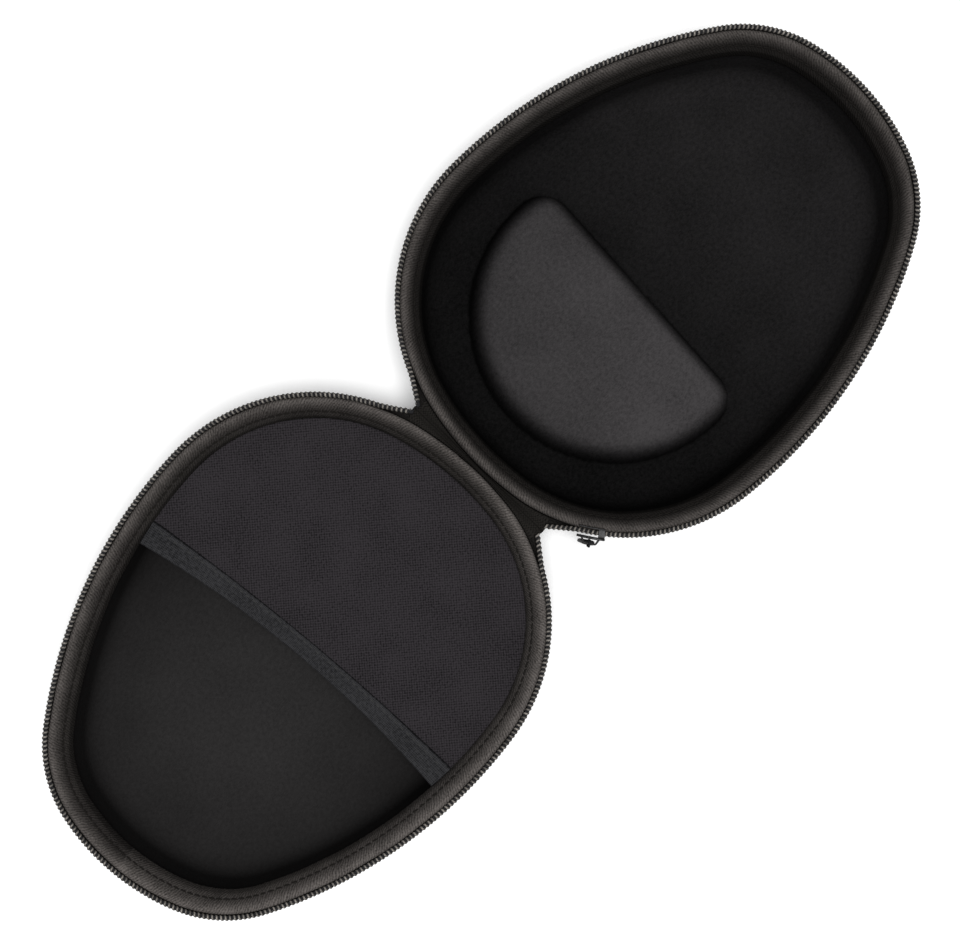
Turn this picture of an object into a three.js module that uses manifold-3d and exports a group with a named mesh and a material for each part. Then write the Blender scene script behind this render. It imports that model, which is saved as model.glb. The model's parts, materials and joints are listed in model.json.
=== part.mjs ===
// A clamshell headphone carrying case, lying open flat. Two egg-shaped moulded halves, the base
// on +X and the lid on -X, meet at a fabric hinge that runs along Y. A coil zip follows both rims.
// Millimetres, +Z up, the table at z = 0, the hinge line at x = 0.
import * as THREE from 'three';
import { mergeVertices } from 'three/addons/utils/BufferGeometryUtils.js';
import Module from 'manifold-3d';

const wasm = await Module();
wasm.setup();

const DEG = Math.PI / 180;

// ---------------------------------------------------------------- driving dimensions

const HALF_DEPTH = 38;          // outside depth of each half, and the height of the parting plane
const STRIP_GAP = 0.7;          // least distance between the two hinge strips when open flat
const SKEW = 4.2 * DEG;         // each half's long axis leans this far from square to the hinge

// Outline of a half at the zip's outer edge, as tangent arcs from the hinge to the tip.
// An arc is split where the zip ends, so that a station falls there.
const SIDE_ARCS = [
  { radius: 119, sweep: 10.8, steps: 2 },
  { radius: 119, sweep: 1, steps: 1 },
  { radius: 69.8, sweep: 12.4, steps: 2 },
  { radius: 69.8, sweep: 62.8, steps: 9 },
  { radius: 178.7, sweep: 35.2, steps: 5 },
  { radius: 49, sweep: 41.2, steps: 6 },
];
const TIP_STEPS = 2;            // facets of the arc that closes the outline at the tip
const ZIP_END_FAR = 2;          // station where the zip ends on the +Y side of the hinge
const ZIP_END_NEAR = 5;         // station where the zip ends on the -Y side of the hinge
const STRIP_TO_ZIP_GAP = 0.5;   // between the hinge strip's ends and the zip's ends

// Moulded wall, measured inwards from the outline (d) and up from the table (z).
const WALL_D = 2.5;             // outer face of the wall just below the rim
const WALL_Z = 32.5;            // height where that is
const DRAFT = 7.5 * DEG;        // the wall leans inwards this much on its way down
const BOTTOM_RADIUS = 15;       // outside radius between wall and floor
const FILLET_STEPS = 4;
const COVER = { outer: 0, inner: 0.6, topOuter: 5.9, topInner: 5.9 };
const FOAM = { outer: 0.85, inner: 4.45, topOuter: 5.0, topInner: 6.6 };
const LINING = { outer: 4.7, inner: 5.2, topOuter: 8.0, topInner: 8.0 };

// Raised hump in the base that the headband goes round: a D with its straight edge to the tip.
const HUMP = { nearU: 22.4, roundRadius: 55, sideLength: 2, cornerRadius: 12, height: 18, crown: 0.6 };
const HUMP_ROLL = [             // how the hump's side rolls over: inset and share of the height
  { inset: 0, rise: 0 },
  { inset: 1.2, rise: 0.42 },
  { inset: 2.8, rise: 0.72 },
  { inset: 5.6, rise: 0.92 },
  { inset: 10, rise: 1 },
];
const HUMP_SKIN = 0.7;          // lining over the hump
const HUMP_STEPS = { round: 8, corner: 3 };
const PIECE_GAP = 0.3;          // between pieces that lie on each other

// Rim sections: d inwards from the outline, drop below the parting plane.
const COIL = { depth: 1.35, top: 0.6, bottom: 3.2, round: 0.35 };
const TAPE_SECTION = [[1.6, 0.9], [2.05, 0.9], [2.05, 6], [2.7, 10], [2.25, 10], [1.6, 6]];
const STRIP_SECTION = [[1.2, 0.35], [2.05, 0.35], [2.05, 6], [2.7, 11], [1.85, 11], [1.2, 6]];
const BINDING_SECTION = [
  [2.45, 5.6], [2.45, 4.5], [2.85, 3.6], [3.7, 3.2], [5.3, 3.7], [7.1, 4.9], [8.5, 6.6], [9.5, 10.8],
  [8.75, 10.8], [8.15, 7], [6.9, 5.7], [5.2, 4.5], [3.9, 4.05], [3.05, 4.7], [3.05, 5.6],
];

// Pocket in the lid: a stretched panel from the hinge side to a bowed, hemmed free edge.
const POCKET = { inset: 9.95, top: 9.2, thickness: 0.9, edgeU: 95.1, bow: 5, edgeHalf: 67.5, steps: 10 };
const PANEL_END_INSET = 1;      // from the pocket's corner to the panel's corner
const HEM = { width: 7, height: 2.8, skin: 0.5, endInset: 3.4 };
const ELASTIC_THICKNESS = 0.8;

// Zip slider: two plates and a post on the base's zip, parked near the hinge.
const SLIDER = {
  parkAngle: 13.4 * DEG,        // from the near end of the zip round the slider's arc
  halfLength: 5,
  tailHalfHeight: 1.7,
  headHalfHeight: 3.3,
  taperShare: 0.6,              // share of the length over which the plate widens
  outerPlate: [-1.4, -0.5],
  innerPlate: [2.45, 3],
  innerHalfHeight: 2.2,
  post: 0.3,
  postLength: 2.4,
  steps: 4,
};
const CROWN = { halfSpan: 2.6, legLength: 1.1, barD: -3.1, barRadius: 0.38, legHeight: 0.6 };
const JOIN = 0.2;               // how far the slider's blocks run into each other
const CORD = { radius: 0.45, drop: 7, clearance: 0.05, turnSteps: 6, sides: 8 };
const GRIP = {
  width: 6.4, length: 17, thickness: 1.6, bevel: 0.3, topDrop: 7.35, corner: 2.2, neckShare: 0.7,
};

// ---------------------------------------------------------------- materials

const material = (color, roughness, metalness = 0) =>
  new THREE.MeshStandardMaterial({ color, roughness, metalness });
const COVER_FABRIC = material(0x1c1c1d, 0.8);
const FOAM_BLACK = material(0x151515, 0.95);
const LINING_NAP = material(0x141415, 0.98);
const BINDING_TAPE = material(0x3a3735, 0.9);
const ZIP_TAPE = material(0x161616, 0.9);
const COIL_PLASTIC = material(0x2a2a2a, 0.45);
const POCKET_MESH = material(0x2b2a2e, 0.92);
const ELASTIC_BLACK = material(0x101010, 0.9);
const SLIDER_METAL = material(0x1b1b1c, 0.4, 0.9);
const CORD_BLACK = material(0x18181a, 0.85);
const GRIP_RUBBER = material(0x1e1e20, 0.6);

// ---------------------------------------------------------------- paths and stations

// A station is a point (u, v) of a path with its inward normal (nu, nv). u runs from the hinge
// to the tip and v across, so a half's own frame has x = u and y = -v.
function station(u, v, heading) {
  return { u, v, nu: Math.sin(heading), nv: -Math.cos(heading), heading };
}

function addArc(path, radius, sweep, steps) {
  const from = path[path.length - 1];
  const centreU = from.u + radius * from.nu;
  const centreV = from.v + radius * from.nv;
  for (let i = 1; i <= steps; i += 1) {
    const heading = from.heading - (sweep * i) / steps;
    path.push(station(centreU - radius * Math.sin(heading), centreV + radius * Math.cos(heading), heading));
  }
}

function addLine(path, length) {
  const from = path[path.length - 1];
  const u = from.u + length * Math.cos(from.heading);
  const v = from.v + length * Math.sin(from.heading);
  path.push(station(u, v, from.heading));
}

function outlineSide() {
  const path = [station(0, 0, 90 * DEG)];
  for (const arc of SIDE_ARCS) {
    addArc(path, arc.radius, arc.sweep * DEG, arc.steps);
  }
  const last = path[path.length - 1];
  const tipRadius = last.v / Math.cos(last.heading);
  addArc(path, tipRadius, last.heading + 90 * DEG, TIP_STEPS);
  return path;
}

function humpSide() {
  const path = [station(HUMP.nearU, 0, 90 * DEG)];
  addArc(path, HUMP.roundRadius, 90 * DEG, HUMP_STEPS.round);
  addLine(path, HUMP.sideLength);
  addArc(path, HUMP.cornerRadius, 90 * DEG, HUMP_STEPS.corner);
  addLine(path, HUMP.roundRadius - HUMP.cornerRadius);
  return path;
}

const mirrored = (s) => ({ ...s, v: -s.v, nv: -s.nv });

function closedLoop(side) {
  const back = side.slice(1, -1).reverse().map(mirrored);
  return [...side, ...back];
}

const SIDE = outlineSide();
const RIM = closedLoop(SIDE);
const HUMP_LOOP = closedLoop(humpSide());

// Moves an end station of an open path towards its neighbour.
function trimmed(end, next, length) {
  const share = length / Math.hypot(next.u - end.u, next.v - end.v);
  return { ...end, u: end.u + (next.u - end.u) * share, v: end.v + (next.v - end.v) * share };
}

function zipPath() {
  const near = SIDE.slice(ZIP_END_NEAR);
  const far = SIDE.slice(ZIP_END_FAR, -1).reverse().map(mirrored);
  return [...near, ...far];
}

function hingePath() {
  const far = SIDE.slice(1, ZIP_END_FAR + 1).reverse().map(mirrored);
  const path = [...far, ...SIDE.slice(0, ZIP_END_NEAR + 1)];
  const last = path.length - 1;
  path[0] = trimmed(path[0], path[1], STRIP_TO_ZIP_GAP);
  path[last] = trimmed(path[last], path[last - 1], STRIP_TO_ZIP_GAP);
  return path;
}

// ---------------------------------------------------------------- solids

const pointAt = (s, d, z) => [s.u + s.nu * d, -(s.v + s.nv * d), z];

function geometryFrom(points, triangles) {
  const geometry = new THREE.BufferGeometry();
  geometry.setAttribute('position', new THREE.Float32BufferAttribute(points.flat(), 3));
  geometry.setIndex(triangles.flat());
  return facingOut(geometry);
}

// Turns every face over when the solid is inside out.
function facingOut(geometry) {
  const at = geometry.getAttribute('position');
  const index = geometry.getIndex().array;
  const corner = (i) => new THREE.Vector3().fromBufferAttribute(at, index[i]);
  let volume = 0;
  for (let i = 0; i < index.length; i += 3) {
    volume += corner(i).dot(corner(i + 1).cross(corner(i + 2)));
  }
  if (volume < 0) {
    geometry.setIndex([...index].reverse());
  }
  geometry.computeVertexNormals();
  return geometry;
}

// Sweeps a closed section of [d, z] points along stations. An open path gets flat ends.
function sweep(stations, section, closed) {
  const count = section.length;
  const points = [];
  for (const s of stations) {
    points.push(...section.map(([d, z]) => pointAt(s, d, z)));
  }
  const spans = closed ? stations.length : stations.length - 1;
  const triangles = [];
  for (let i = 0; i < spans; i += 1) {
    const here = i * count;
    const next = ((i + 1) % stations.length) * count;
    for (let k = 0; k < count; k += 1) {
      const up = (k + 1) % count;
      triangles.push([here + k, next + k, next + up], [here + k, next + up, here + up]);
    }
  }
  if (!closed) {
    const last = (stations.length - 1) * count;
    for (const [a, b, c] of endFaces(section)) {
      triangles.push([a, b, c], [last + c, last + b, last + a]);
    }
  }
  return geometryFrom(points, triangles);
}

// Triangles that fill a closed section, turning the same way as its outline.
function endFaces(section) {
  const outline = section.map(([d, z]) => new THREE.Vector2(d, z));
  const turn = Math.sign(THREE.ShapeUtils.area(outline));
  return THREE.ShapeUtils.triangulateShape([...outline], []).map(([a, b, c]) => {
    const area = THREE.ShapeUtils.area([outline[a], outline[b], outline[c]]);
    return Math.sign(area) === turn ? [a, b, c] : [c, b, a];
  });
}

// Closes a stack of rings, given as [d, z] offsets of one loop, with a point over each end.
function stack(loop, rings, centreU, crown = 0) {
  const count = loop.length;
  const points = rings.flatMap(([d, z]) => loop.map((s) => pointAt(s, d, z)));
  const bottom = points.push([centreU, 0, rings[0][1]]) - 1;
  const top = points.push([centreU, 0, rings[rings.length - 1][1] + crown]) - 1;
  const triangles = [];
  for (let i = 0; i < count; i += 1) {
    const next = (i + 1) % count;
    for (let r = 0; r < rings.length - 1; r += 1) {
      const low = r * count;
      const high = low + count;
      triangles.push([low + i, low + next, high + next], [low + i, high + next, high + i]);
    }
    const last = (rings.length - 1) * count;
    triangles.push([bottom, next, i], [top, last + i, last + next]);
  }
  return geometryFrom(points, triangles);
}

function toSolid(geometry) {
  const bare = geometry.clone();
  bare.deleteAttribute('normal');
  bare.deleteAttribute('uv');
  const merged = mergeVertices(bare, 1e-4);
  const vertProperties = new Float32Array(merged.getAttribute('position').array);
  const triVerts = new Uint32Array(merged.getIndex().array);
  return new wasm.Manifold(new wasm.Mesh({ numProp: 3, vertProperties, triVerts }));
}

function fromSolid(solid) {
  const mesh = solid.getMesh();
  const geometry = new THREE.BufferGeometry();
  geometry.setAttribute('position', new THREE.BufferAttribute(new Float32Array(mesh.vertProperties), 3));
  geometry.setIndex(new THREE.BufferAttribute(new Uint32Array(mesh.triVerts), 1));
  geometry.computeVertexNormals();
  return geometry;
}

// ---------------------------------------------------------------- moulded layers

const BOTTOM_CENTRE_D =
  WALL_D + (WALL_Z - BOTTOM_RADIUS) * Math.tan(DRAFT) + BOTTOM_RADIUS / Math.cos(DRAFT);
const LOOP_CENTRE_U = 95;       // any point well inside the outline

const wallD = (depth, z) => WALL_D + (WALL_Z - z) * Math.tan(DRAFT) + depth / Math.cos(DRAFT);

// The floor, bottom radius and wall of the surface that lies this deep inside the outer face.
function surfaceAt(depth, rimDrop) {
  const radius = BOTTOM_RADIUS - depth;
  const rings = [];
  for (let i = 0; i <= FILLET_STEPS; i += 1) {
    const angle = ((90 * DEG - DRAFT) * i) / FILLET_STEPS;
    rings.push([BOTTOM_CENTRE_D - radius * Math.sin(angle), BOTTOM_RADIUS - radius * Math.cos(angle)]);
  }
  const top = HALF_DEPTH - rimDrop;
  rings.push([wallD(depth, top), top]);
  return rings;
}

function layer({ outer, inner, topOuter, topInner }) {
  const rings = [...surfaceAt(outer, topOuter), ...surfaceAt(inner, topInner).reverse()];
  return stack(RIM, rings, LOOP_CENTRE_U);
}

// The hump, shrunk by a skin all round, standing on a given level.
function hump(skin, level) {
  const floor = LINING.inner;
  const rings = HUMP_ROLL.map(({ inset, rise }) => [inset + skin, floor + rise * HUMP.height - skin]);
  rings[0][1] = level;
  const centreU = HUMP.nearU + HUMP.roundRadius;
  return stack(HUMP_LOOP, rings, centreU, HUMP.crown);
}

function baseLining() {
  const cup = toSolid(layer(LINING));
  const raised = toSolid(hump(0, LINING.outer));
  const hollow = toSolid(hump(HUMP_SKIN, LINING.outer - PIECE_GAP));
  return fromSolid(cup.add(raised).subtract(hollow));
}

// ---------------------------------------------------------------- rim

const belowParting = (section) => section.map(([d, drop]) => [d, HALF_DEPTH - drop]);

function coilSection() {
  const { depth, top, bottom, round } = COIL;
  return [
    [0, top + round], [round, top], [depth - round, top],
    [depth, top + round], [depth, bottom - round], [depth - round, bottom],
    [round, bottom], [0, bottom - round],
  ];
}

// ---------------------------------------------------------------- lid pocket

// u of the free edge at v: an arc that bows towards the hinge in the middle.
const edgeRadius = (POCKET.edgeHalf ** 2 + POCKET.bow ** 2) / (2 * POCKET.bow);
const edgeU = (v) => POCKET.edgeU + edgeRadius - Math.sqrt(edgeRadius ** 2 - v * v);

// Where the panel's sewn edge meets its free edge.
function pocketCorner() {
  const inside = SIDE.map((s) => ({ u: s.u + s.nu * POCKET.inset, v: s.v + s.nv * POCKET.inset }));
  const after = inside.findIndex((p) => p.u > edgeU(p.v));
  const from = inside[after - 1];
  const to = inside[after];
  const share = (edgeU(from.v) - from.u) / (to.u - from.u - (edgeU(to.v) - edgeU(from.v)));
  return { sewn: inside.slice(0, after), v: from.v + (to.v - from.v) * share };
}

// The free edge as stations from -v to +v, with the inward side towards the hinge.
function edgeStations(halfWidth) {
  const half = Math.asin(halfWidth / edgeRadius);
  const path = [];
  for (let i = 0; i <= POCKET.steps; i += 1) {
    const angle = -half + (2 * half * i) / POCKET.steps;
    const u = POCKET.edgeU + edgeRadius * (1 - Math.cos(angle));
    path.push({ u, v: edgeRadius * Math.sin(angle), nu: -Math.cos(angle), nv: Math.sin(angle) });
  }
  return path;
}

function slab(outline, bottom, thickness) {
  const shape = new THREE.Shape(outline.map(({ u, v }) => new THREE.Vector2(u, -v)));
  const geometry = new THREE.ExtrudeGeometry(shape, { depth: thickness, bevelEnabled: false });
  return geometry.translate(0, 0, bottom);
}

function pocketPanel() {
  const { sewn, v } = pocketCorner();
  const inHem = HEM.width / 2;
  const free = edgeStations(v - PANEL_END_INSET).reverse().map((s) => ({ u: s.u + s.nu * inHem, v: s.v }));
  const kept = sewn.filter((p) => p.u < edgeU(p.v) - inHem);
  const back = kept.slice(1).reverse().map((p) => ({ u: p.u, v: -p.v }));
  const outline = [...kept, ...free, ...back];
  return slab(outline, HALF_DEPTH - POCKET.top - POCKET.thickness, POCKET.thickness);
}

// The hem is a folded band: a C round the panel's edge and the elastic.
function hemSection() {
  const middle = HALF_DEPTH - POCKET.top - POCKET.thickness / 2;
  const { width, skin } = HEM;
  const out = HEM.height / 2;
  const inside = out - skin;
  return [
    [0, middle - out], [width, middle - out], [width, middle - inside], [skin, middle - inside],
    [skin, middle + inside], [width, middle + inside], [width, middle + out], [0, middle + out],
  ];
}

function elasticSection() {
  const middle = HALF_DEPTH - POCKET.top - POCKET.thickness / 2;
  const near = HEM.skin + PIECE_GAP;
  const far = HEM.width / 2 - PIECE_GAP;
  const half = ELASTIC_THICKNESS / 2;
  return [[near, middle - half], [far, middle - half], [far, middle + half], [near, middle + half]];
}

// ---------------------------------------------------------------- zip slider and pull

const SLIDER_ARC = SIDE_ARCS[3];

// Station on the base's zip at an angle past the park position.
function sliderStation(angle) {
  const path = [SIDE[ZIP_END_NEAR]];
  addArc(path, SLIDER_ARC.radius, SLIDER.parkAngle + angle, 1);
  return path[1];
}

// A block that follows the zip: d and height limits, between two distances along the zip.
function zipBlock([dLow, dHigh], from, to, halfHeightAt) {
  const count = SLIDER.steps + 1;
  const points = [];
  for (let i = 0; i < count; i += 1) {
    const along = from + ((to - from) * i) / SLIDER.steps;
    const s = sliderStation(along / SLIDER_ARC.radius);
    const half = halfHeightAt(along);
    for (const [d, side] of [[dLow, -1], [dHigh, -1], [dHigh, 1], [dLow, 1]]) {
      points.push(pointAt(s, d, HALF_DEPTH + side * half));
    }
  }
  const triangles = [];
  for (let i = 0; i < SLIDER.steps; i += 1) {
    const here = i * 4;
    for (let k = 0; k < 4; k += 1) {
      const up = (k + 1) % 4;
      triangles.push([here + k, here + 4 + k, here + 4 + up], [here + k, here + 4 + up, here + up]);
    }
  }
  const end = SLIDER.steps * 4;
  triangles.push([0, 1, 2], [0, 2, 3], [end, end + 2, end + 1], [end, end + 3, end + 2]);
  return toSolid(geometryFrom(points, triangles));
}

// Half height of the slider's plates: narrow at the tail, wide at the head.
function plateHalfHeight(along) {
  const share = (along + SLIDER.halfLength) / (2 * SLIDER.halfLength);
  const eased = Math.min(1, share / SLIDER.taperShare);
  return SLIDER.tailHalfHeight + (SLIDER.headHalfHeight - SLIDER.tailHalfHeight) * eased;
}

function zipSlider() {
  const { halfLength, innerHalfHeight, post, postLength, outerPlate, innerPlate } = SLIDER;
  const outer = zipBlock(outerPlate, -halfLength, halfLength, plateHalfHeight);
  const inner = zipBlock(innerPlate, -halfLength, halfLength, () => innerHalfHeight);
  const bridge = zipBlock([outerPlate[1] - JOIN, innerPlate[0] + JOIN],
    halfLength - postLength, halfLength, () => post);
  const legD = [CROWN.barD - CROWN.barRadius, outerPlate[0] + JOIN];
  const { halfSpan, legLength, legHeight, barRadius } = CROWN;
  const backLeg = zipBlock(legD, -halfSpan - legLength, -halfSpan, () => legHeight);
  const frontLeg = zipBlock(legD, halfSpan, halfSpan + legLength, () => legHeight);
  const barD = [CROWN.barD - barRadius, CROWN.barD + barRadius];
  const bar = zipBlock(barD, -halfSpan - JOIN, halfSpan + JOIN, () => barRadius);
  return fromSolid(outer.add(inner).add(bridge).add(backLeg).add(frontLeg).add(bar));
}

// The pull's own frame hangs from the crown bar: x back along the zip, y outwards, z up.
function pullFrame() {
  const s = sliderStation(0);
  const group = new THREE.Group();
  group.position.set(...pointAt(s, CROWN.barD, HALF_DEPTH));
  group.rotation.z = Math.atan2(s.nu, s.nv);
  return group;
}

// A hairpin of cord over the crown bar.
function pullCord() {
  const turn = CROWN.barRadius * Math.SQRT2 + CORD.radius + CORD.clearance;
  const joints = [new THREE.Vector3(0, -turn, -CORD.drop)];
  for (let i = 0; i <= CORD.turnSteps; i += 1) {
    const angle = (Math.PI * i) / CORD.turnSteps;
    joints.push(new THREE.Vector3(0, -turn * Math.cos(angle), turn * Math.sin(angle)));
  }
  joints.push(new THREE.Vector3(0, turn, -CORD.drop));
  return roundBar(joints);
}

// A round bar through the joints of a polyline that lies in the plane x = 0.
function roundBar(joints) {
  const points = [];
  joints.forEach((joint, i) => {
    const before = joints[Math.max(0, i - 1)];
    const after = joints[Math.min(joints.length - 1, i + 1)];
    const along = after.clone().sub(before).normalize();
    const across = new THREE.Vector3(1, 0, 0);
    const normal = along.clone().cross(across);
    for (let k = 0; k < CORD.sides; k += 1) {
      const angle = (2 * Math.PI * k) / CORD.sides;
      const p = joint.clone();
      p.addScaledVector(across, CORD.radius * Math.cos(angle));
      p.addScaledVector(normal, CORD.radius * Math.sin(angle));
      points.push(p.toArray());
    }
  });
  const count = CORD.sides;
  const triangles = [];
  for (let i = 0; i < joints.length - 1; i += 1) {
    const here = i * count;
    for (let k = 0; k < count; k += 1) {
      const up = (k + 1) % count;
      const next = here + count;
      triangles.push([here + k, next + k, next + up], [here + k, next + up, here + up]);
    }
  }
  const end = (joints.length - 1) * count;
  for (let k = 1; k < count - 1; k += 1) {
    triangles.push([0, k, k + 1], [end, end + k + 1, end + k]);
  }
  return geometryFrom(points, triangles);
}

// The moulded grip at the cord's end: a flat tab with round corners.
function pullGrip() {
  const { width, length, thickness, bevel, corner, topDrop } = GRIP;
  const w = width / 2 - bevel;
  const top = -topDrop - bevel;
  const low = -topDrop - length + bevel;
  const shape = new THREE.Shape();
  shape.moveTo(-w + corner, low);
  shape.lineTo(w - corner, low);
  shape.absarc(w - corner, low + corner, corner, -90 * DEG, 0, false);
  shape.lineTo(w * GRIP.neckShare, top);
  shape.lineTo(-w * GRIP.neckShare, top);
  shape.lineTo(-w, low + corner);
  shape.absarc(-w + corner, low + corner, corner, 180 * DEG, 270 * DEG, false);
  const geometry = new THREE.ExtrudeGeometry(shape, {
    depth: thickness,
    bevelEnabled: true,
    bevelThickness: bevel,
    bevelSize: bevel,
    bevelSegments: 1,
    curveSegments: 4,
  });
  geometry.translate(0, 0, -thickness / 2);
  return geometry.rotateX(90 * DEG);
}

// ---------------------------------------------------------------- assembly

function part(name, geometry, finish) {
  const mesh = new THREE.Mesh(geometry, finish);
  mesh.name = name;
  return mesh;
}

// The pieces that base and lid have alike, in a half's own frame.
function halfPieces(half) {
  return [
    part(`${half}_cover`, layer(COVER), COVER_FABRIC),
    part(`${half}_foam_shell`, layer(FOAM), FOAM_BLACK),
    part(`${half}_binding`, sweep(RIM, belowParting(BINDING_SECTION), true), BINDING_TAPE),
    part(`${half}_zip_tape`, sweep(zipPath(), belowParting(TAPE_SECTION), false), ZIP_TAPE),
    part(`${half}_zip_coil`, sweep(zipPath(), belowParting(coilSection()), false), COIL_PLASTIC),
    part(`${half}_hinge_strip`, sweep(hingePath(), belowParting(STRIP_SECTION), false), COVER_FABRIC),
  ];
}

// Sets a half's own frame beside the hinge line, turned by the skew and centred along Y.
function placeHalf(frame) {
  frame.rotation.z = -SKEW;
  const corners = RIM.map((s) => new THREE.Vector3(s.u, -s.v, 0).applyAxisAngle(frame.up, -SKEW));
  const box = new THREE.Box3().setFromPoints(corners);
  const stripD = STRIP_SECTION[0][0];
  frame.position.set(STRIP_GAP / 2 - stripD - box.min.x, -(box.min.y + box.max.y) / 2, 0);
}

function halfFrame() {
  const frame = new THREE.Group();
  frame.up = new THREE.Vector3(0, 0, 1);
  placeHalf(frame);
  return frame;
}

const base = halfFrame();
base.add(...halfPieces('base'));
base.add(part('base_lining', baseLining(), LINING_NAP));
base.add(part('hump_core', hump(HUMP_SKIN + PIECE_GAP, FOAM.inner + PIECE_GAP), FOAM_BLACK));
base.add(part('zip_slider', zipSlider(), SLIDER_METAL));

const pull = pullFrame();
pull.add(part('pull_cord', pullCord(), CORD_BLACK));
pull.add(part('pull_grip', pullGrip(), GRIP_RUBBER));
base.add(pull);

const lid = halfFrame();
lid.add(...halfPieces('lid'));
lid.add(part('lid_lining', layer(LINING), LINING_NAP));
lid.add(part('pocket_panel', pocketPanel(), POCKET_MESH));
const hemHalf = pocketCorner().v - HEM.endInset;
lid.add(part('pocket_hem', sweep(edgeStations(hemHalf), hemSection(), false), POCKET_MESH));
lid.add(part('pocket_elastic', sweep(edgeStations(hemHalf), elasticSection(), false), ELASTIC_BLACK));

const lidSide = new THREE.Group();
lidSide.scale.x = -1;
lidSide.add(lid);

const headphoneCase = new THREE.Group();
headphoneCase.add(base, lidSide);

export default headphoneCase;
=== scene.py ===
"""The looks of the headphone carrying case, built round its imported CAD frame.

Lengths are in millimetres until a mesh is made. A point of a half is given as u (hinge to tip),
v (across) and z, or along the rim as s (length along the outline), d (inwards) and drop (below
the parting plane).
"""
import json
import math

import bmesh
import bpy
import numpy as np
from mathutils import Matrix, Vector


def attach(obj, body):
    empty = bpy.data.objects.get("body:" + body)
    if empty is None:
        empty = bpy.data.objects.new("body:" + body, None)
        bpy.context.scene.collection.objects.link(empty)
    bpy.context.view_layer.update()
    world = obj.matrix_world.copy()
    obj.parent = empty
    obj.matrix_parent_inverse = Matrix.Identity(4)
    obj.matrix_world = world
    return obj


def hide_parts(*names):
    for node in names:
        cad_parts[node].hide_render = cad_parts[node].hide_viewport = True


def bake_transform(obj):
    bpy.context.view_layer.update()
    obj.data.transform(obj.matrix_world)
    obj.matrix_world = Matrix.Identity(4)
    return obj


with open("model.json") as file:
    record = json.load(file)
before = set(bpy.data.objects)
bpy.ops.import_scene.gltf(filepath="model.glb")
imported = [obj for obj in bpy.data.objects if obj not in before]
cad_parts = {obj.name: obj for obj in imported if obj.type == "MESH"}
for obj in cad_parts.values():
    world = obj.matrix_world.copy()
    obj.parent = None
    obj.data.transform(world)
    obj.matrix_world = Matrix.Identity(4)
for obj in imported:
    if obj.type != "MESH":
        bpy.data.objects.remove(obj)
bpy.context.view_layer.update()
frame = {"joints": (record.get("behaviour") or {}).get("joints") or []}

# ------------------------------------------------------------------ dimensions

MM = 0.001
DEG = math.pi / 180
JOINT = {joint["name"]: joint for joint in frame["joints"]}
PARTING = JOINT["lid_hinge"]["pos_m"][2] / MM
SKEW = 4.2 * DEG                # each half's long axis leans from square to the hinge

# Outline of a half, as (radius, sweep) of tangent arcs from the hinge to the tip.
SIDE_ARCS = ((119.0, 11.8 * DEG), (69.8, 75.2 * DEG), (178.7, 35.2 * DEG), (49.0, 41.2 * DEG))
SLIDER_ARC = 1                  # the side arc that the slider runs on
ZIP_NEAR = SIDE_ARCS[0][0] * SIDE_ARCS[0][1] + SIDE_ARCS[1][0] * 12.4 * DEG
ZIP_FAR = SIDE_ARCS[0][0] * 10.8 * DEG

WALL_D, WALL_Z = 2.5, 32.5      # outer face of the wall just below the rim
DRAFT = 7.5 * DEG
BOTTOM_RADIUS = 15.0
COVER_THICK, COVER_DROP = 0.6, 5.9
LINING_DEPTH = 5.2              # inner face, measured from the outer face
LINING_THICK, LINING_DROP = 0.45, 8.0

HUMP_CENTRE, HUMP_ROUND, HUMP_EDGE = 77.4, 55.0, 14.0
HUMP_CORNER, HUMP_HEIGHT, HUMP_CROWN, HUMP_ROLL = 12.0, 18.0, 0.6, 10.0

TOOTH_PITCH = 1.65
STITCH_PITCH = 3.1
RIB_PITCH, RIB_LEAN = 1.15, 0.55    # the binding tape's slanted ribs

POCKET_EDGE_U, POCKET_BOW, POCKET_HALF = 95.1, 5.0, 67.5

# ------------------------------------------------------------------ outline


class Outline:
    """The rim outline as tangent arcs, evaluated by length from the middle of the hinge edge."""

    def __init__(self):
        self.legs = []
        u, v, heading, run = 0.0, 0.0, 90 * DEG, 0.0
        for radius, sweep in SIDE_ARCS:
            self.legs.append((run, u, v, heading, 1 / radius))
            u, v, heading = self._arc_end(u, v, heading, radius, sweep)
            run += radius * sweep
        radius, sweep = v / math.cos(heading), heading + 90 * DEG
        self.legs.append((run, u, v, heading, 1 / radius))
        self.tip_u = self._arc_end(u, v, heading, radius, sweep)[0]
        self.half_length = run + radius * sweep
        self.length = 2 * self.half_length

    @staticmethod
    def _arc_end(u, v, heading, radius, sweep):
        end = heading - sweep
        return (
            u + radius * (math.sin(heading) - math.sin(end)),
            v - radius * (math.cos(heading) - math.cos(end)),
            end,
        )

    def at(self, s):
        """(u, v, nu, nv) arrays: the point at length s and its inward normal."""
        s = np.asarray(s, float) % self.length
        other = s > self.half_length
        run = np.where(other, self.length - s, s)
        legs = np.array(self.legs)
        leg = legs[np.clip(np.searchsorted(legs[:, 0], run, side="right") - 1, 0, len(legs) - 1)]
        start, u, v, heading, bend = np.moveaxis(leg, -1, 0)
        along = run - start
        end = heading - along * bend
        u = u + (np.sin(heading) - np.sin(end)) / bend
        v = v - (np.cos(heading) - np.cos(end)) / bend
        side = np.where(other, -1.0, 1.0)
        return u, v * side, np.sin(end), -np.cos(end) * side


OUTLINE = Outline()


def turned(u, v):
    """A half's own (u, v) turned by its skew, before it is moved beside the hinge."""
    return u * math.cos(SKEW) - v * math.sin(SKEW), -u * math.sin(SKEW) - v * math.cos(SKEW)


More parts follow.
